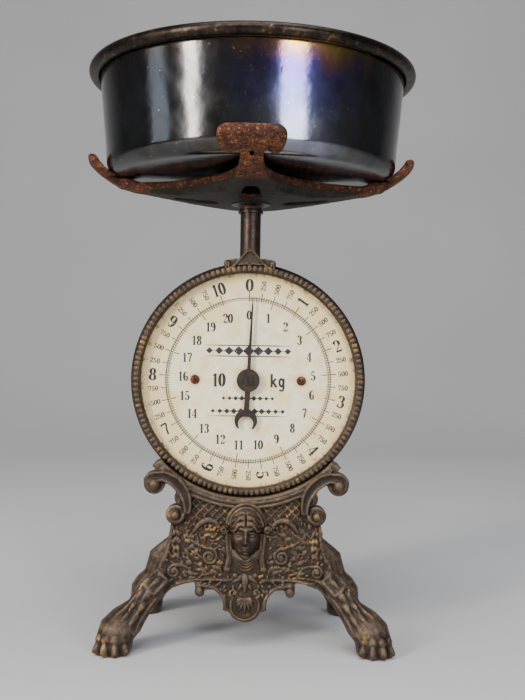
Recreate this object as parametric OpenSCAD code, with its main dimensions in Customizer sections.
// Kitchen spring scale, about 1900: a blued steel bowl lies in a cast star on a stem, the stem pulls down
// two springs inside a drum, and a rack on the same crosshead turns the pointer of the 10 kg dial.
// Origin: on the floor, under the stem. X to the right, Y to the back, Z up, in millimetres.

/* [Bowl] */
// Outer radius of the wall at the foot
bowl_foot_r = 86; // [80:1:90]
// How far the wall leans out from the foot to the rim
bowl_flare = 4.3; // [1:0.1:8]
// Height from the bowl's underside to the middle of the rim wire
bowl_h = 60; // [45:1:80]
// Sheet thickness of the bowl
bowl_sheet = 1; // [0.8:0.1:1.4]
// Outer radius of the bend at the foot
bowl_bend = 9; // [6:1:12]
// Radius of the wire in the rim
rim_wire_r = 2.65; // [1.6:0.05:3]

/* [Carrier] */
// Height of the carrier's seat above the floor
seat_z = 270; // [262:1:285]
// Radius of the concave sides of the star
star_bite_r = 74; // [68:1:76]
// Width of the arms at their ends
arm_w = 12; // [10:0.5:16]
// Width of the edge rib
rib_w = 5; // [3.5:0.5:7]
// Height of the edge rib
rib_h = 9; // [7:0.5:11]
// Thickness of the dished web
web_t = 3.5; // [2.5:0.5:5]
// Depth of the web's underside below the seat at the hub
dish_depth = 14; // [12:0.5:16]
// Height of the turned-up heads above the seat
head_h = 12.5; // [9:0.5:16]
// Width of the heads
head_w = 36; // [28:1:42]
// Thickness of the turned-up heads
head_t = 5; // [4:0.5:7]
// Radius of the hub
hub_r = 11.7; // [10:0.1:14]
// Width of the slot in each arm
slot_w = 12; // [8:0.5:14]

/* [Stem] */
// Radius of the stem
stem_r = 6.15; // [5:0.05:7]
// Radius of the stem's threaded end
stem_end_r = 4; // [3:0.25:4.5]
// Radius of the guide rod under the crosshead
rod_r = 3; // [2.5:0.25:4]
// Running clearance on the radius of every bearing
running_clear = 0.06; // [0.03:0.01:0.1]

/* [Drum] */
// Height of the dial's centre above the floor
dial_z = 151.5; // [148:0.5:155]
// Outer radius of the drum
drum_r = 67.3; // [66:0.1:70]
// Wall of the drum
drum_wall = 2.3; // [1.5:0.1:3]
// Depth of the drum, front to back
drum_depth = 50; // [46:1:56]
// How far the bezel's edge lies inside the drum's edge
bezel_step = 1.5; // [0.5:0.1:2]
// Width of the bezel's ring
bezel_w = 4.6; // [3.5:0.1:7]
// How far the bezel stands in front of the drum
bezel_h = 5.5; // [4:0.5:8]
// Thickness of the dial sheet
dial_t = 0.8; // [0.5:0.1:1.5]
// Depth of the dial's face behind the drum's front edge
dial_inset = 0.4; // [0.2:0.1:2]
// Distance of each dial screw from the centre
dial_screw_x = 30.5; // [26:0.5:40]

/* [Pointer] */
// Length of the needle from the centre
needle_l = 47.5; // [40:0.5:54]
// Radius of the pointer's boss
boss_r = 6.6; // [5:0.1:8]
// Distance of the crescent below the centre
crescent_z = 23; // [18:0.5:28]
// Outer radius of the crescent
crescent_r = 6.5; // [5:0.1:8]
// Reading of the unloaded pointer, in degrees past zero
rest_angle = 2.5; // [0:0.5:5]
// Radius of the arbor
arbor_r = 2; // [1.5:0.1:2.5]

/* [Works] */
// Tooth module of rack and pinion
gear_module = 0.8; // [0.6:0.05:0.9]
// Teeth on the pinion
pinion_teeth = 12; // [10:1:14]
// Face width of the pinion
pinion_w = 6; // [4:0.5:7]
// Full travel of the platform, as a share of the drum's inside radius
travel_share = 0.44; // [0.3:0.01:0.46]
// Distance of each spring from the stem's axis, as a share of the same radius
spring_share = 0.43; // [0.42:0.01:0.44]
// Mean radius of the spring coils
spring_r = 5.4; // [4.5:0.1:6]
// Wire thickness of the springs
spring_wire = 1.6; // [1.2:0.1:2]
// Turns in each spring
spring_turns = 13; // [9:1:16]

/* [Stand] */
// Distance from the stem's axis to the back of each stand casting
stand_y = 26.5; // [26.5:0.5:30]
// Thickness of the casting's panel
panel_t = 6; // [4:0.5:8]
// Half width of the stand at its waist
waist_x = 45; // [42:1:50]
// Half spread of the paws, to their outer toes
paw_x = 84.7; // [78:0.1:90]
// How far the toes stand from the stem's axis
toe_y = 54; // [48:1:58]
// Width of the cradle moulding round the drum
cradle_w = 6; // [4:0.5:8]

/* [Hidden] */
$fn = 64;

// Colours of the metals
rust = "#8a4b32";
iron = "#4a3f35";
steel = "#5b5a5c";
blued = "#2c3040";
brass = "#a98a4c";
cream = "#ece6cf";
black = "#2b2420";

// Small fits
slack = 0.3;
wire_gap = 0.05;
seat_gap = 0.1;

// Bowl
bowl_r = bowl_foot_r + bowl_flare;
roll_r = rim_wire_r + wire_gap + bowl_sheet;
rim_z = seat_z + bowl_h;
rim_c = bowl_r + roll_r - bowl_sheet;

// Carrier; the bowl's flat bottom ends at foot_flat, where the arms carry it
dish_k = 0.00135;
under_z = seat_z - dish_depth;
foot_flat = bowl_foot_r - bowl_bend;
star_c = foot_flat + 3;
head_out = bowl_foot_r + 11;
rib_sag = 2.7;
slot_near = 25;
slot_far = 42;
hub_top = seat_z - 5;
nut_h = 3.2;
collar_h = 5.4;

// Drum and dial
drum_front = -drum_depth / 2;
drum_back = drum_depth / 2;
drum_in = drum_r - drum_wall;
bezel_r = drum_r - bezel_step;
window_r = bezel_r - bezel_w;
travel = travel_share * drum_in;
spring_x = spring_share * drum_in;
dial_y = drum_front + dial_inset;
dial_r = drum_in - slack;
bridge_t = 4;
bridge_h = 20;
front_bridge_y = dial_y + dial_t;
rear_bridge_y = 12;
lug_w = 12;
hanger_z = dial_z + drum_in - 19;
hanger_h = 7;
hanger_half_y = 5;
hanger_lug_x = spring_x + 4;
hanger_screw_x = hanger_lug_x + 2.4;
lug_screw_x = drum_in - 6;
cover_screw_x = 30;
upper_pin_z = hanger_z - 3.5;
bush_r = stem_r + 3;
low_bush_r = rod_r + 3;
// Plane of the pointer's underside
pointer_y = dial_y - 2.2;
needle_t = 0.8;
boss_t = 2;

// Rack and pinion
pitch_r = gear_module * pinion_teeth / 2;
rack_pitch = PI * gear_module;
pinion_y = -9;
yoke_t = 5;
yoke_window = 12;
yoke_bar = 6;
// Flat of the crosshead that the stem's fork straddles
yoke_slot = 5;
window_top = dial_z + travel + 7;
stem_foot = window_top + 8;
window_bottom = dial_z - 9;
cross_z = dial_z - drum_in + 41;
cross_h = 7;
lower_pin_z = cross_z + cross_h / 2;
rack_screw_z = [window_bottom - 5, window_top + 2.5];
cross_half = spring_x + 5;
rod_tip = cross_z - 66;
rack_back = pitch_r + gear_module + 4;

// Stand
cradle_r = drum_r + seat_gap;
cradle_screw_r = 1.6;
panel_front = stand_y + panel_t;
bolt_x = 40;
bolt_z = 56;
bolt_r = 2.5;
rear_paw_x = paw_x - 9;
haunch_x = waist_x - 3.5;
paw_r = 12.3;
sole_y = paw_r - toe_y;
toe_r = 4.3;
toe_turns = [-44, -10, 24, 58];
mask_z = 66;
curl_t = 1.6;
volute_r = 6;
eye_r = 5.6;
scroll_c = by_drum(21.2, -54.5);
upper_volute = scroll_c + [0.5, 13.6];
lower_volute = scroll_c + [-11.7, -3.9];
scroll_sweep = 18.5;
shell_z = 24.2;
shell_r = 9.6;
drop_x = 25.6;
drop_r = 2.8;
arch_z = 33;
// Half outline of the panel: cradle, backs of the scrolls, waist, arch, drop and hanging cartouche
panel_half = concat(
    [by_drum(-0.2, -43.2), by_drum(5.4, -54.8), by_drum(10.1, -60.6)],
    [[waist_x - 3, 72], [waist_x - 1.5, 64], [waist_x + 1, 54], [waist_x + 4, 46], [waist_x - 5, 34]],
    [[waist_x - 11, arch_z + 3.3], [drop_x + drop_r, arch_z + 4.4], [drop_x + drop_r, arch_z - 1.5]],
    arc(drop_x, arch_z - 1.5, drop_r, 0, -180, 6),
    [[drop_x - drop_r, arch_z], [17.7, arch_z]],
    arc(22, shell_z - 0.2, 9.8, 115, 195, 6),
    arc(0, shell_z, shell_r, -25, -90, 6)
);
// Sections of a leg from the haunch down to the sole: share of the way out to the paw, y, z, half width,
// half depth and tilt
leg_sections = [
    [0, -stand_y - 3, 42, 7.5, 3.5, 50],
    [0.18, -stand_y - 4.5, 37.3, 6.8, 5, 43],
    [0.32, -stand_y - 5.8, 34.5, 7.8, 6, 36],
    [0.45, -stand_y - 7, 29.5, 7.3, 6.3, 33],
    [0.57, -stand_y - 8.5, 24, 7.2, 6.6, 29],
    [0.74, -stand_y - 11, 19.5, 9.6, 8.2, 24],
    [0.88, sole_y + 1.8, 14.5, 11.4, 10.5, 15],
    [0.98, sole_y + 0.2, 8, 12.2, 12, 4],
    [1, sole_y, 3.5, paw_r, 12.2, 0],
    [1, sole_y, 1, paw_r - 0.7, 11.6, 0],
    [1, sole_y, 0, paw_r - 1.7, 10.6, 0]
];

// Points of an arc, from angle a0 to a1
function arc(cx, cy, r, a0, a1, n = 8) =
    [for (i = [0:n]) [cx + r * cos(a0 + (a1 - a0) * i / n), cy + r * sin(a0 + (a1 - a0) * i / n)]];

// A point of the stand seen from the front, as far out of the cradle as given and at angle a round the dial
function by_drum(out, a) = [(cradle_r + out) * cos(a), dial_z + (cradle_r + out) * sin(a)];

// Points of a spiral from radius r0 to r1
function spiral(c, r0, r1, a0, turns, n) =
    [for (i = [0:n]) let (a = a0 + 360 * turns * i / n, r = r0 + (r1 - r0) * i / n)
        c + [r * cos(a), r * sin(a)]];

// Height of the carrier's underside at radius r
function dish(r) = under_z + dish_k * r * r;

// A strap between two points, with round ends of their own radii and tangent sides
module strap2d(a, b, ra, rb, n = 10) {
    d = norm(b - a);
    along = atan2(b[1] - a[1], b[0] - a[0]);
    open = acos((ra - rb) / d);
    polygon(concat(
        arc(a[0], a[1], ra, along + open, along + 360 - open, n),
        arc(b[0], b[1], rb, along - open, along + open, n)
    ));
}

// Outline of a band that follows a path, with a half width at each point
function side_points(path, w, s) = [for (i = [0:len(path) - 1])
    let (d = path[min(i + 1, len(path) - 1)] - path[max(i - 1, 0)])
    path[i] + s * w[i] / norm(d) * [-d[1], d[0]]];
function backward(list) = [for (i = [len(list) - 1:-1:0]) list[i]];
function band(path, w) = concat(side_points(path, w, 1), backward(side_points(path, w, -1)));
function mirrored(list) = concat(list, [for (p = backward(list)) [-p[0], p[1]]]);

// Turns a drawing of the XZ plane into a plate from y0 to y1
module plate(y0, y1) {
    translate([0, y1, 0]) rotate([90, 0, 0]) linear_extrude(y1 - y0) children();
}

// A cylinder along Y
module y_rod(x, y0, y1, z, r) {
    translate([x, y0, z]) rotate([-90, 0, 0]) cylinder(h = y1 - y0, r = r);
}

module both_sides() {
    children();
    mirror([1, 0, 0]) children();
}

module four_ways() {
    for (a = [0:90:270]) rotate([0, 0, a]) children();
}

// Bowl: one sheet, from the flat bottom through the foot bend, up the wall and round the rim wire
module bowl() {
    t = bowl_sheet;
    lean = atan2(bowl_r - bowl_foot_r, bowl_h);
    foot_c = bowl_foot_r - bowl_bend;
    outer = concat(
        [[0, seat_z]],
        arc(foot_c, seat_z + bowl_bend, bowl_bend, -90, -lean, 6),
        arc(rim_c, rim_z, roll_r - t, 180, -120, 16)
    );
    inner = concat(
        arc(rim_c, rim_z, roll_r, -120, 180, 16),
        arc(foot_c, seat_z + bowl_bend, bowl_bend - t, -lean, -90, 6),
        [[0, seat_z + t]]
    );
    color(blued) rotate_extrude($fn = 128) polygon(concat(outer, inner));
}

// Wire inside the rolled rim
module rim_wire() {
    color(steel) translate([0, 0, rim_z]) rotate_extrude($fn = 96)
        translate([rim_c, 0]) circle(r = rim_wire_r, $fn = 24);
}

// Plan of the four-armed star, drawn in by inset: each quadrant is a concave arc between two arms
module star2d(inset = 0) {
    c = star_bite_r + arm_w / 2;
    reach = head_out + 2 - inset;
    quadrant = concat(
        [[reach, arm_w / 2 - inset]],
        arc(c, c, star_bite_r + inset, 270, 180, 14),
        [[arm_w / 2 - inset, reach]]
    );
    polygon([for (a = [0:90:270], p = quadrant)
        [p[0] * cos(a) - p[1] * sin(a), p[0] * sin(a) + p[1] * cos(a)]]);
}

// Section of the carrier turned about the stem: dished web and upturned lip
module web_section() {
    polygon(concat(
        [for (r = [0:8:80]) [r, dish(r)]],
        [for (r = [80:-8:0]) [r, dish(r) + web_t]]
    ));
}

// Section of the edge ribs: they sag under the bowl, carry it at the end of its flat bottom, then sweep up
module rib_section() {
    top = seat_z + head_h;
    low = seat_z - rib_h;
    polygon(concat(
        [for (r = [0:8:56]) [r, max(dish(r), low)]],
        [[foot_flat - 7, low + 1.4], [foot_flat, low + 3.4], [foot_flat + 6, low + 6.2]],
        [[bowl_foot_r + 2, low + 9.6], [bowl_foot_r + 6, low + 12.4], [head_out - 1.2, low + 16]],
        [[head_out - 0.4, top - 2.6], [head_out - 1, top - 0.6], [head_out - 2.4, top]],
        [[head_out - head_t, top - 1], [bowl_foot_r + 3.6, seat_z + 7.4], [bowl_foot_r + 1, seat_z + 4.6]],
        [[bowl_foot_r - 2, seat_z + 2.4], [foot_flat + 3, seat_z + 0.3], [foot_flat, seat_z]],
        [[foot_flat - 4, seat_z], [foot_flat - 11, seat_z - rib_sag], [0, seat_z - rib_sag]]
    ));
}

// An upturned head in the front arm's place: neck, and a bar with round ends that hang a little
module head() {
    lobe = 5.6;
    top = seat_z + head_h;
    side = head_w / 2 - lobe;
    y0 = -head_out - 1;
    y1 = -foot_flat - 2;
    plate(y0, y1) strap2d([0, seat_z - 12], [0, top - 7], arm_w / 2 + 0.5, arm_w / 2);
    plate(y0, y1) strap2d([-side, top - lobe], [side, top - lobe], lobe, lobe);
    for (s = [-1, 1]) plate(y0, y1)
        strap2d([s * side, top - lobe], [s * (side - 0.4), top - lobe - 1.8], lobe, lobe - 0.3);
}

module carrier() {
    color(rust) difference() {
        union() {
            intersection() {
                translate([0, 0, under_z - 1]) linear_extrude(seat_z - under_z) star2d(rib_w / 2);
                difference() {
                    rotate_extrude($fn = 96) web_section();
                    four_ways() translate([0, 0, under_z - 2]) linear_extrude(seat_z - under_z) slot2d();
                }
            }
            intersection() {
                rotate_extrude($fn = 96) rib_section();
                union() {
                    difference() {
                        translate([0, 0, under_z]) linear_extrude(head_h + dish_depth + 1) star2d();
                        intersection() {
                            translate([0, 0, under_z - 1])
                                linear_extrude(head_h + dish_depth + 3) star2d(rib_w);
                            cylinder(h = 3 * seat_z, r = star_c - 1.5, center = true);
                        }
                    }
                    four_ways() head();
                }
            }
            hub();
        }
        translate([0, 0, under_z - 5]) cylinder(h = dish_depth + 10, r = stem_end_r + seat_gap);
        y_rod(0, -head_out - 1, -foot_flat, seat_z - 0.5, 1.3);
    }
}

// Long opening in each arm's web
module slot2d() {
    strap2d([0, -slot_near], [0, -slot_far], slot_w / 2, slot_w / 3);
}

// Turned hub of the carrier, with a groove under its ring
module hub() {
    z0 = under_z;
    rotate_extrude() polygon([
        [0, z0], [hub_r, z0], [hub_r, z0 + 3], [hub_r - 1.6, z0 + 3.8], [hub_r - 1.6, z0 + 4.8],
        [hub_r, z0 + 5.4], [hub_r, z0 + 6.8], [hub_r - 3, hub_top], [0, hub_top]
    ]);
}

module carrier_nut() {
    color(steel) difference() {
        translate([0, 0, hub_top]) cylinder(h = nut_h, r = 7.5, $fn = 6);
        translate([0, 0, hub_top - 1]) cylinder(h = nut_h + 2, r = stem_end_r + seat_gap);
    }
}

// Turned collar under the hub, flared like a trumpet
module stem_collar() {
    flare_r = 2.7;
    z0 = under_z - collar_h;
    color(steel) rotate_extrude() polygon(concat(
        [[stem_r + seat_gap, z0], [stem_r + 1.3, z0], [stem_r + 1.3, z0 + 1.6]],
        [[stem_r + 0.7, z0 + 2.2]],
        arc(stem_r + 0.7 + flare_r, z0 + 2.2, flare_r, 175, 100, 6),
        [[hub_r, under_z - 0.4], [hub_r, under_z], [stem_r + seat_gap, under_z]]
    ));
}

module stem() {
    z0 = stem_foot;
    color(steel) difference() {
        union() {
            translate([0, 0, z0]) cylinder(h = under_z - z0, r = stem_r);
            translate([0, 0, under_z - 1]) cylinder(h = hub_top + nut_h + 0.8 - under_z + 1, r = stem_end_r);
        }
        translate([0, -stem_r - 1, z0 - 1]) translate([-yoke_slot / 2 - 0.02, 0, 0])
            cube([yoke_slot + 0.04, 2 * stem_r + 2, 11]);
        rotate([90, 0, 90]) translate([0, z0 + 5, 0]) cylinder(h = 4 * stem_r, r = 1.5, center = true);
    }
}

// Crosshead: a window frame round the arbor, two arms for the springs and a socket for the guide rod
module crosshead() {
    z0 = stem_foot;
    out_x = yoke_window + yoke_bar;
    color(iron) difference() {
        union() {
            plate(-yoke_t / 2, yoke_t / 2) difference() {
                union() {
                    translate([-out_x, cross_z]) square([2 * out_x, window_top + 6 - cross_z]);
                    translate([-cross_half, cross_z]) square([2 * cross_half, cross_h]);
                }
                translate([-yoke_window, window_bottom])
                    square([2 * yoke_window, window_top - window_bottom]);
            }
            translate([-yoke_slot / 2, -yoke_t / 2, window_top])
                cube([yoke_slot, yoke_t, z0 + 10 - window_top]);
            translate([0, 0, cross_z - 8]) cylinder(h = 12, r = rod_r + 3);
        }
        rotate([90, 0, 90]) translate([0, z0 + 5, 0]) cylinder(h = 3 * yoke_slot, r = 1.5, center = true);
        translate([0, 0, cross_z - 9]) cylinder(h = 12, r = rod_r);
        for (s = [-1, 1]) y_rod(s * spring_x, -yoke_t, yoke_t, cross_z + cross_h / 2, 1.2);
        for (z = rack_screw_z) y_rod(yoke_window + 3, -yoke_t, yoke_t, z, 1);
    }
}

// Cross pin that holds the stem's fork to the crosshead
module crosshead_pin() {
    color(steel) rotate([90, 0, 90]) translate([0, stem_foot + 5, 0])
        cylinder(h = 2 * stem_r - 1, r = 1.5, center = true);
}

module guide_rod() {
    color(steel) {
        translate([0, 0, rod_tip + 1]) cylinder(h = cross_z + 3 - rod_tip - 1, r = rod_r);
        translate([0, 0, rod_tip]) cylinder(h = 1, r1 = rod_r - 0.8, r2 = rod_r);
    }
}

// Pins in the crosshead's arms, which hold the lower eyes of the springs
module spring_pins() {
    color(steel) for (s = [-1, 1]) eye_pin(s * spring_x, lower_pin_z);
}

// Rack: straight teeth that face the pinion, and a foot at each end on the crosshead
module rack() {
    y0 = pinion_y;
    y1 = -yoke_t / 2;
    count = ceil((travel + 14) / rack_pitch);
    m = gear_module;
    foot_h = 5;
    color(brass) difference() {
        union() {
            plate(y0, y1) translate([pitch_r + 1.15 * m, rack_screw_z[0] - foot_h / 2])
                square([rack_back - pitch_r - 1.15 * m, rack_screw_z[1] - rack_screw_z[0] + foot_h]);
            for (k = [-2:count - 3]) plate(y0, y1) translate([0, dial_z + k * rack_pitch]) rack_tooth2d();
            for (z = rack_screw_z) plate(y1 - 1.6, y1)
                translate([rack_back - 1, z - foot_h / 2])
                    square([yoke_window + yoke_bar - rack_back + 1, foot_h]);
        }
        for (z = rack_screw_z) y_rod(yoke_window + 3, y0 - 1, y1 + 1, z, 1);
    }
}

// One rack tooth, its tip towards the pinion
module rack_tooth2d() {
    m = gear_module;
    polygon([
        [pitch_r + 1.2 * m, -0.98 * m], [pitch_r, -0.66 * m], [pitch_r - 0.8 * m, -0.34 * m],
        [pitch_r - 0.8 * m, 0.34 * m], [pitch_r, 0.66 * m], [pitch_r + 1.2 * m, 0.98 * m]
    ]);
}

module rack_screws() {
    y1 = -yoke_t / 2;
    color(steel) for (z = rack_screw_z) {
        y_rod(yoke_window + 3, y1 - 1.6, yoke_t / 2 - 0.5, z, 1);
        y_rod(yoke_window + 3, y1 - 2.6, y1 - 1.6, z, 2);
    }
}

// Pinion with slim teeth, a gap facing the rack at rest
module pinion() {
    m = gear_module;
    root_r = pitch_r - 1.15 * m;
    color(brass) difference() {
        plate(pinion_y - 0.5, pinion_y + pinion_w - 0.5) translate([0, dial_z]) {
            circle(r = root_r, $fn = 48);
            for (k = [0:pinion_teeth - 1]) rotate(360 * (k + 0.5) / pinion_teeth) polygon([
                [root_r - 0.3, -0.72 * m], [pitch_r - 0.3 * m, -0.62 * m], [pitch_r + 0.3 * m, -0.48 * m],
                [pitch_r + 0.85 * m, -0.2 * m], [pitch_r + 0.85 * m, 0.2 * m], [pitch_r + 0.3 * m, 0.48 * m],
                [pitch_r - 0.3 * m, 0.62 * m], [root_r - 0.3, 0.72 * m]
            ]);
        }
        y_rod(0, pinion_y - 2, pinion_y + pinion_w + 2, dial_z, arbor_r);
    }
}

module pointer_arbor() {
    color(steel) {
        y_rod(0, front_bridge_y + 0.4, rear_bridge_y + bridge_t - 0.5, dial_z, arbor_r);
        y_rod(0, pointer_y - 1, front_bridge_y + 0.4, dial_z, arbor_r);
        y_rod(0, rear_bridge_y - 3.2, rear_bridge_y - 1.2, dial_z, arbor_r + 1.2);
    }
}

// Pointer: slim needle, round boss, and a tail that ends in a crescent
module pointer() {
    color(black) translate([0, 0, dial_z]) rotate([0, rest_angle, 0]) translate([0, 0, -dial_z])
    difference() {
        union() {
            plate(pointer_y - needle_t, pointer_y) translate([0, dial_z]) {
                polygon(mirrored([[0, 0], [1.1, 0], [0.95, 12], [0.45, needle_l - 5], [0.05, needle_l]]));
                polygon(mirrored([[0, 0], [1.5, 0], [1.5, 6 - crescent_z], [3, 2.2 - crescent_z]]));
                translate([0, -crescent_z]) difference() {
                    circle(r = crescent_r, $fn = 48);
                    translate([0, -1.8]) circle(r = crescent_r - 2.2, $fn = 48);
                    translate([-crescent_r, -2 * crescent_r - 4.6]) square([2 * crescent_r, 2 * crescent_r]);
                }
            }
            y_rod(0, pointer_y - boss_t, pointer_y + 0.8, dial_z, boss_r);
        }
        y_rod(0, pointer_y - boss_t - 1, pointer_y + 2, dial_z, arbor_r);
    }
}

module pointer_screw() {
    color(steel) difference() {
        union() {
            y_rod(0, pointer_y - boss_t - 0.9, pointer_y - boss_t, dial_z, 2.8);
            y_rod(0, pointer_y - boss_t, pointer_y - 1, dial_z, arbor_r - 0.1);
        }
        translate([-0.3, pointer_y - boss_t - 1.4, dial_z - 3]) cube([0.6, 0.9, 6]);
    }
}

// Drum: a ring of sheet iron with guide holes for the stem and rod, and lugs inside for the works
module drum_case() {
    color(iron) difference() {
        union() {
            translate([0, drum_back, dial_z]) rotate([90, 0, 0]) rotate_extrude($fn = 128) polygon([
                [drum_in, 0], [drum_r - 1, 0], [drum_r, 1], [drum_r, drum_depth - 1.5],
                [drum_r - 1.5, drum_depth], [drum_in, drum_depth]
            ]);
            intersection() {
                y_rod(0, front_bridge_y, drum_back - 2, dial_z, drum_in + 1);
                both_sides() {
                    lug(front_bridge_y + bridge_t, 8);
                    lug(rear_bridge_y - 8, 8);
                    translate([hanger_lug_x, -hanger_half_y, hanger_z - 8]) cube([30, 2 * hanger_half_y, 8]);
                }
            }
        }
        translate([0, 0, dial_z + 50]) cylinder(h = 40, r = bush_r);
        translate([0, 0, dial_z - 90]) cylinder(h = 40, r = low_bush_r);
        for (s = [-1, 1]) {
            y_rod(s * lug_screw_x, front_bridge_y + bridge_t - 1, front_bridge_y + bridge_t + 6, dial_z, 1.6);
            y_rod(s * lug_screw_x, rear_bridge_y - 6, rear_bridge_y + 1, dial_z, 1.6);
            translate([s * hanger_screw_x, 0, hanger_z - 6]) cylinder(h = 8, r = 1.6);
        }
        for (side = [0, 1], s = [-1, 1]) mirror([0, side, 0]) cradle_hole(s, cradle_screw_r + seat_gap);
    }
}

module lug(y0, depth) {
    translate([drum_in - lug_w, y0, dial_z - 8]) cube([lug_w + 1, depth, 16]);
}

module back_cover() {
    color(iron) difference() {
        union() {
            y_rod(0, drum_back, drum_back + 1.2, dial_z, bezel_r - 0.2);
            y_rod(0, drum_back - 1.5, drum_back, dial_z, drum_in - seat_gap);
        }
        for (s = [-1, 1]) y_rod(s * cover_screw_x, drum_back - 5, drum_back + 5, dial_z, 1.6);
    }
}

// Screws through the back cover into the rear bridge
module back_cover_screws() {
    color(steel) for (s = [-1, 1]) {
        y_rod(s * cover_screw_x, rear_bridge_y + 1, drum_back + 1.2, dial_z, 1.6);
        difference() {
            y_rod(s * cover_screw_x, drum_back + 1.2, drum_back + 2.8, dial_z, 3.2);
            translate([s * cover_screw_x - 4, drum_back + 2.1, dial_z - 0.4]) cube([8, 1, 0.8]);
        }
    }
}

// Bezel: a raised ring with a cove inside, a beaded band, and a spigot that enters the drum
module bezel_ring() {
    h = bezel_h;
    color(iron) translate([0, drum_front, dial_z]) rotate([90, 0, 0]) rotate_extrude($fn = 128) polygon([
        [window_r, -0], [bezel_r, -0], [bezel_r, h - 2.2], [bezel_r - 0.7, h - 1.2], [bezel_r - 1.1, h - 1.2],
        [bezel_r - 1.3, h - 0.3], [bezel_r - 2, h], [window_r + 1.3, h], [window_r + 0.5, h - 0.5],
        [window_r + 0.4, h - 1.4], [window_r, h - 1.8]
    ]);
}

// Crest over the bezel: a pointed arch between two small scrolls
module crest() {
    y1 = drum_front - 1;
    y0 = y1 - 4;
    color(iron) {
        plate(y0, y1) difference() {
            translate([0, dial_z]) {
                translate([0, bezel_r + 7.6]) circle(r = 1.9, $fn = 32);
                polygon(mirrored([[11, bezel_r - 2], [6.5, bezel_r + 3.2], [1.6, bezel_r + 8.7]]));
                for (s = [-1, 1]) {
                    strap2d([s * 8, bezel_r + 2], [s * 12.8, bezel_r + 0.6], 1.6, 2.1);
                }
            }
            translate([0, dial_z]) circle(r = bezel_r, $fn = 128);
        }
        both_sides() y_rod(12.8, y0 - 1, y0, dial_z + bezel_r + 0.6, 1.4);
    }
}

module dial_plate() {
    color(cream) difference() {
        y_rod(0, dial_y, dial_y + dial_t, dial_z, dial_r);
        y_rod(0, dial_y - 1, dial_y + dial_t + 1, dial_z, arbor_r + 2.5);
        for (s = [-1, 1]) y_rod(s * dial_screw_x, dial_y - 1, dial_y + dial_t + 1, dial_z, 1.3);
    }
}

module dial_screws() {
    color(rust) for (s = [-1, 1]) {
        y_rod(s * dial_screw_x, dial_y, front_bridge_y + bridge_t - 0.5, dial_z, 1.3);
        difference() {
            translate([s * dial_screw_x, dial_y, dial_z]) rotate([90, 0, 0])
                rotate_extrude($fn = 32) polygon([[0, 0], [2.7, 0], [2.4, 0.7], [1.4, 1.3], [0, 1.5]]);
            translate([s * dial_screw_x - 3, dial_y - 2, dial_z - 0.3]) cube([6, 1.3, 0.6]);
        }
    }
}

// Bridge across the drum that carries one end of the arbor
module bridge(y0, screw_x) {
    half = drum_in - 0.6;
    difference() {
        intersection() {
            y_rod(0, y0, y0 + bridge_t, dial_z, half);
            plate(y0 - 1, y0 + bridge_t + 1) translate([0, dial_z]) {
                square([2 * half + 2, 12], center = true);
                circle(r = bridge_h / 2);
            }
        }
        y_rod(0, y0 - 1, y0 + bridge_t + 1, dial_z, arbor_r + 2);
        for (s = [-1, 1]) {
            y_rod(s * lug_screw_x, y0 - 1, y0 + bridge_t + 1, dial_z, 1.6);
            y_rod(s * screw_x[0], y0 - 1, y0 + bridge_t + 1, dial_z, screw_x[1]);
        }
    }
}

module front_bridge() {
    color(brass) bridge(front_bridge_y, [dial_screw_x, 1.3]);
}

module rear_bridge() {
    color(brass) bridge(rear_bridge_y, [cover_screw_x, 1.6]);
}

module arbor_bushes() {
    color(brass) for (y0 = [front_bridge_y, rear_bridge_y]) difference() {
        y_rod(0, y0, y0 + bridge_t, dial_z, arbor_r + 2);
        y_rod(0, y0 - 1, y0 + bridge_t + 1, dial_z, arbor_r + running_clear);
    }
}

module bridge_screws() {
    color(steel) for (s = [-1, 1]) {
        y_rod(s * lug_screw_x, front_bridge_y, front_bridge_y + bridge_t + 5, dial_z, 1.6);
        y_rod(s * lug_screw_x, rear_bridge_y - 5, rear_bridge_y + bridge_t, dial_z, 1.6);
        y_rod(s * lug_screw_x, rear_bridge_y + bridge_t, rear_bridge_y + bridge_t + 1.5, dial_z, 3);
    }
}

// Hanger bar over the works; the stem passes through its middle, and the springs hang from its two tabs
module spring_hanger() {
    z1 = hanger_z + hanger_h;
    half = sqrt(pow(drum_in - 0.5, 2) - pow(z1 - dial_z, 2));
    color(iron) difference() {
        union() {
            translate([-half, -hanger_half_y, hanger_z]) cube([2 * half, 2 * hanger_half_y, hanger_h]);
            translate([0, 0, hanger_z]) cylinder(h = hanger_h, r = stem_r + 5);
            for (s = [-1, 1]) translate([s * spring_x - 3, -2.5, upper_pin_z - 3])
                cube([6, 5, hanger_z - upper_pin_z + 4]);
        }
        translate([0, 0, hanger_z - 1]) cylinder(h = hanger_h + 2, r = stem_r + 1.5);
        for (s = [-1, 1]) {
            translate([s * hanger_screw_x, 0, hanger_z - 1]) cylinder(h = hanger_h + 2, r = 1.6);
            y_rod(s * spring_x, -6, 6, upper_pin_z, 1.2);
        }
    }
}

// A pin with a small head, on which one eye of a spring hangs
module eye_pin(x, z) {
    y_rod(x, -yoke_t / 2 - 3.4, yoke_t / 2, z, 1.2);
    y_rod(x, -yoke_t / 2 - 4.2, -yoke_t / 2 - 3.4, z, 2);
}

module hanger_pins() {
    color(steel) for (s = [-1, 1]) eye_pin(s * spring_x, upper_pin_z);
}

module hanger_screws() {
    color(steel) for (s = [-1, 1]) translate([s * hanger_screw_x, 0, 0]) {
        translate([0, 0, hanger_z - 5]) cylinder(h = 5 + hanger_h, r = 1.6);
    }
}

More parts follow.
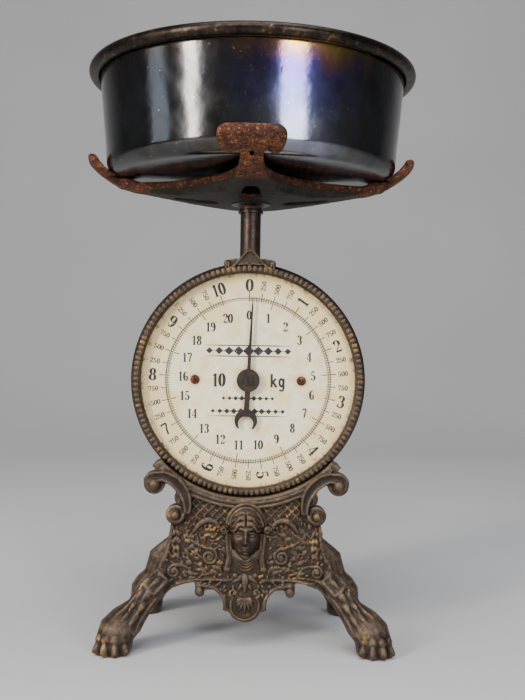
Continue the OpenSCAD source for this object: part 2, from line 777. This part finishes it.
// Flanged bush in the top of the drum, where the stem runs
module upper_guide_bush() {
    z0 = dial_z + drum_in - 4;
    flange_z = dial_z + drum_r + 0.6;
    color(brass) rotate_extrude() polygon([
        [stem_r + running_clear, z0], [bush_r, z0], [bush_r, flange_z], [bush_r + 1.5, flange_z],
        [bush_r + 1, flange_z + 1.8], [stem_r + running_clear, flange_z + 1.8]
    ]);
}

module lower_guide_bush() {
    z0 = dial_z - drum_r - 3;
    z1 = dial_z - drum_in + 2.5;
    flange_z = dial_z - drum_r - 0.4;
    color(brass) rotate_extrude() polygon([
        [rod_r + running_clear, z0], [low_bush_r + 1.5, z0], [low_bush_r + 1.5, flange_z],
        [low_bush_r, flange_z], [low_bush_r, z1], [rod_r + running_clear, z1]
    ]);
}

// Path of one tension spring: an eye round the lower pin, the coil, and an eye round the upper pin
function spring_path(x) =
    let (eye_r = 1.2 + spring_wire / 2 + 0.15, eye_y = -yoke_t / 2 - 1.6, turns = spring_turns, per_turn = 8)
    let (z0 = lower_pin_z + 5, z1 = upper_pin_z - 5, steps = turns * per_turn)
    concat(
        [for (a = [-180:45:90]) [x + eye_r * cos(a - 90), eye_y, lower_pin_z + eye_r * sin(a - 90)]],
        [for (i = [0:steps]) let (a = -90 + 360 * i / per_turn)
            [x + spring_r * cos(a), spring_r * sin(a), z0 + (z1 - z0) * i / steps]],
        [for (a = [-90:45:180]) [x + eye_r * cos(a + 90), eye_y, upper_pin_z + eye_r * sin(a + 90)]]
    );

// A tube of six sides along a path, its rings square to the path
module wire_tube(path, r) {
    sides = 6;
    n = len(path);
    rings = [for (i = [0:n - 1])
        let (d = path[min(i + 1, n - 1)] - path[max(i - 1, 0)], t = d / norm(d))
        let (up = abs(t[2]) < 0.9 ? [0, 0, 1] : [0, 1, 0])
        let (u = cross(t, up) / norm(cross(t, up)), v = cross(t, u))
        [for (k = [0:sides - 1]) path[i] + r * (cos(360 * k / sides) * u + sin(360 * k / sides) * v)]];
    polyhedron(
        points = [for (ring = rings) each ring],
        faces = concat(
            [[for (k = [0:sides - 1]) k]],
            [for (i = [0:n - 2], k = [0:sides - 1]) let (a = i * sides + k, b = i * sides + (k + 1) % sides)
                each [[a, a + sides, b + sides], [a, b + sides, b]]],
            [[for (k = [sides - 1:-1:0]) (n - 1) * sides + k]]
        )
    );
}

module left_spring() {
    color(steel) wire_tube(spring_path(-spring_x), spring_wire / 2);
}

module right_spring() {
    color(steel) wire_tube(spring_path(spring_x), spring_wire / 2);
}

module panel() {
    plate(-panel_front, -stand_y) polygon(mirrored(panel_half));
}

// Moulding that follows the drum between the two upper scrolls
module cradle() {
    sweep = 48;
    plate(-panel_front - 2, -drum_depth / 2 + 12) translate([0, dial_z]) polygon(concat(
        arc(0, 0, cradle_r + cradle_w - 1.4, -90 - sweep, -90 + sweep, 40),
        arc(0, 0, cradle_r - 4, -90 + sweep - 2, -90 - sweep + 2, 40)
    ));
}

// Scroll at the right side: upper volute, an S-shaped band that thins out, and the lower volute
module scroll() {
    front = -panel_front;
    path = concat(
        arc(upper_volute[0], upper_volute[1], 4.4, 10, 110, 4),
        arc(scroll_c[0], scroll_c[1], scroll_sweep, 105, 190, 12)
    );
    widths = [for (i = [0:len(path) - 1]) 2 + 1.4 * sin(180 * i / (len(path) - 1))];
    plate(front - 3, -stand_y) polygon(band(path, widths));
    y_rod(upper_volute[0], front - 2, -stand_y, upper_volute[1], volute_r);
    y_rod(upper_volute[0], front - 4.5, -stand_y, upper_volute[1], 2.6);
    y_rod(lower_volute[0], front - 2, -stand_y, lower_volute[1], eye_r);
    y_rod(lower_volute[0], front - 4.5, -stand_y, lower_volute[1], 2.4);
}

// One leg, a lion's, lofted through its sections; fuller widens the haunch
module leg(reach, fuller) {
    sides = 16;
    sole_x = reach - paw_r;
    points = [for (s = leg_sections, k = [0:sides - 1])
        let (a = 360 * k / sides, w = s[3] + fuller * (1 - s[0]))
        let (x = haunch_x + s[0] * (sole_x - haunch_x) + fuller * (1 - s[0]))
        [x + w * cos(a) * cos(s[5]), s[1] - s[4] * sin(a), s[2] + w * cos(a) * sin(s[5])]];
    n = len(leg_sections);
    polyhedron(
        points = points,
        faces = concat(
            [[for (k = [0:sides - 1]) k]],
            [for (i = [0:n - 2], k = [0:sides - 1]) let (a = i * sides + k, b = i * sides + (k + 1) % sides)
                each [[a, a + sides, b + sides], [a, b + sides, b]]],
            [[for (k = [sides - 1:-1:0]) (n - 1) * sides + k]]
        )
    );
    for (a = toe_turns) translate([sole_x, sole_y, 0]) rotate([0, 0, a])
        translate([0, toe_r - paw_r - 0.4, toe_r + 0.2]) sphere(r = toe_r, $fn = 20);
}

// A spiral carved on the panel, at the end of a stalk
module curl(c, r, a0, turns, stalk) {
    path = concat(stalk, spiral(c, r, r / 3, a0, turns, 20));
    widths = [for (i = [0:len(path) - 1]) 0.5 + 0.45 * sin(120 * i / (len(path) - 1))];
    plate(-panel_front - curl_t, -stand_y - 1) polygon(band(path, widths));
    y_rod(c[0], -panel_front - curl_t - 0.6, -stand_y - 1, c[1], r / 4);
}

// Leaf between the headdress and the scroll, bent like a wing
module wing() {
    path = concat([[14.5, 68.6]], arc(22, 65.4, 7.4, 130, 20, 6));
    widths = [for (i = [0:len(path) - 1]) 0.6 + 1.5 * sin(180 * i / (len(path) - 1))];
    plate(-panel_front - curl_t, -stand_y - 1) polygon(band(path, widths));
}

// Shell with five flutes in a ring, under a hood of leaves
module shell() {
    front = -panel_front;
    ring = arc(0, shell_z, shell_r - 1.5, -215, 35, 24);
    plate(front - 1.2, -stand_y - 1) polygon(band(ring, [for (p = ring) 0.9]));
    for (a = [-44:22:44]) plate(front - 1.6, -stand_y - 1)
        strap2d([0, shell_z + 4.5], [6.6 * sin(a), shell_z + 4.5 - 9.4 * cos(a)], 0.8, 1.5);
    plate(front - 2.2, -stand_y - 1) strap2d([0, shell_z + 16.6], [0, shell_z + 8.6], 2.4, 1);
    for (s = [-1, 1]) plate(front - 1.8, -stand_y - 1)
        strap2d([s * 1.2, shell_z + 16], [s * 6.4, shell_z + 12.4], 1.5, 0.9);
}

// Mask in the middle of the panel: a plain head with bound hair, side knots, hanging bands and a drape
module mask() {
    front = -panel_front;
    intersection() {
        union() {
            translate([0, front + 1, mask_z]) rotate_extrude($fn = 48) polygon([
                [0, -14], [3.4, -13.2], [5.6, -11], [7.2, -7], [8.2, -2], [8.4, 3], [7.7, 8], [5.6, 11.6],
                [3, 13.4], [0, 14]
            ]);
            translate([0, front + 1.4, mask_z]) rotate_extrude($fn = 48) polygon([
                [0, 5.6], [8.8, 5.6], [9.8, 6.6], [9.9, 8.6], [9, 11.6], [7, 14], [4, 15.6], [0, 16.2]
            ]);
            translate([0, front + 0.4, mask_z - 20]) cylinder(h = 14, r1 = 6.6, r2 = 4.4);
        }
        translate([-20, front - 20, 0]) cube([40, 19 + panel_t, 2 * mask_z]);
    }
    plate(front - 8.8, front) translate([0, mask_z])
        polygon(mirrored([[0.8, 2.6], [1.5, -3.8], [1, -4.6]]));
    for (s = [-1, 1]) {
        translate([s * 12.2, front - 1.6, mask_z + 1.8]) sphere(r = 2.9, $fn = 20);
        plate(front - 3, -stand_y - 1) strap2d([s * 10.4, mask_z - 1], [s * 9.9, mask_z - 19.6], 1, 1.5);
    }
    for (drop = [0:2]) {
        reach = 8.8 - 1.3 * drop;
        v = [[-reach, mask_z - 11], [-reach / 2, mask_z - 16.6 + drop], [0, mask_z - 20 + 2 * drop]];
        path = concat(v, [for (p = backward([v[0], v[1]])) [-p[0], p[1]]]);
        plate(front - 4.4 - drop, front) polygon(band(path, [for (p = path) 0.8]));
    }
}

// What is carved on the front casting only
module carving() {
    stalk = [[31, 66.4], [33, 64.6], [31.4, 61.6], [27, 58.8]];
    tail = [[26, 42.4], [29.8, 43.2], [33.6, 46]];
    mask();
    both_sides() {
        curl([20.5, 52], 5, 70, 1.6, stalk);
        curl([40.2, 43.4], 3.9, 120, -1.4, tail);
        wing();
    }
}

// One side of the stand, facing the front; bolt_y is how deep the tie bolts' holes reach
module stand_casting(bolt_y, reach, fuller) {
    difference() {
        union() {
            panel();
            cradle();
            shell();
            both_sides() scroll();
            both_sides() leg(reach, fuller);
            for (s = [-1, 1]) y_rod(s * bolt_x, -stand_y - 1, -stand_y, bolt_z, 5);
            children();
        }
        y_rod(0, -60, -drum_depth / 2 - seat_gap, dial_z, bezel_r + seat_gap);
        y_rod(0, -drum_depth / 2 - 2 * seat_gap, 0, dial_z, cradle_r);
        for (s = [-1, 1]) y_rod(s * bolt_x, bolt_y, 0, bolt_z, bolt_r + seat_gap);
        for (s = [-1, 1]) cradle_hole(s, cradle_screw_r + seat_gap);
    }
}

// Place of a screw that enters the drum from below, through the cradle
module cradle_hole(s, r) {
    translate([0, -17, dial_z]) rotate([0, s * 24, 0]) translate([0, 0, -drum_r - 8]) cylinder(h = 10, r = r);
}

module front_casting() {
    color(iron) stand_casting(-stand_y - 4, paw_x, 0) carving();
}

module rear_casting() {
    color(iron) mirror([0, 1, 0]) stand_casting(-panel_front - 10, rear_paw_x, 4.5);
}

// Bolts from the back that tie the two castings together under the drum
module tie_bolts() {
    color(steel) for (s = [-1, 1]) {
        y_rod(s * bolt_x, -stand_y - 3.5, panel_front, bolt_z, bolt_r);
        translate([s * bolt_x, panel_front, bolt_z]) rotate([-90, 0, 0]) cylinder(h = 3.4, r = 4.6, $fn = 6);
    }
}

// Distance sleeves on the tie bolts
module tie_sleeves() {
    color(steel) for (s = [-1, 1]) difference() {
        y_rod(s * bolt_x, -stand_y, stand_y, bolt_z, 5);
        y_rod(s * bolt_x, -stand_y - 1, stand_y + 1, bolt_z, bolt_r + seat_gap);
    }
}

module cradle_screws() {
    color(steel) for (side = [0, 1]) mirror([0, side, 0]) for (s = [-1, 1])
        translate([0, -17, dial_z]) rotate([0, s * 24, 0]) {
            translate([0, 0, -cradle_r - cradle_w + 1]) cylinder(h = cradle_w + 0.6, r = cradle_screw_r);
            translate([0, 0, -cradle_r - cradle_w - 0.4]) cylinder(h = 1.6, r = 3);
        }
}

front_casting();
rear_casting();
tie_bolts();
tie_sleeves();
cradle_screws();
drum_case();
back_cover();
back_cover_screws();
bezel_ring();
crest();
dial_plate();
dial_screws();
front_bridge();
rear_bridge();
arbor_bushes();
bridge_screws();
spring_hanger();
hanger_screws();
hanger_pins();
upper_guide_bush();
lower_guide_bush();
left_spring();
right_spring();
stem();
stem_collar();
carrier();
carrier_nut();
crosshead();
crosshead_pin();
guide_rod();
rack();
rack_screws();
spring_pins();
bowl();
rim_wire();
pointer_arbor();
pinion();
pointer();
pointer_screw();
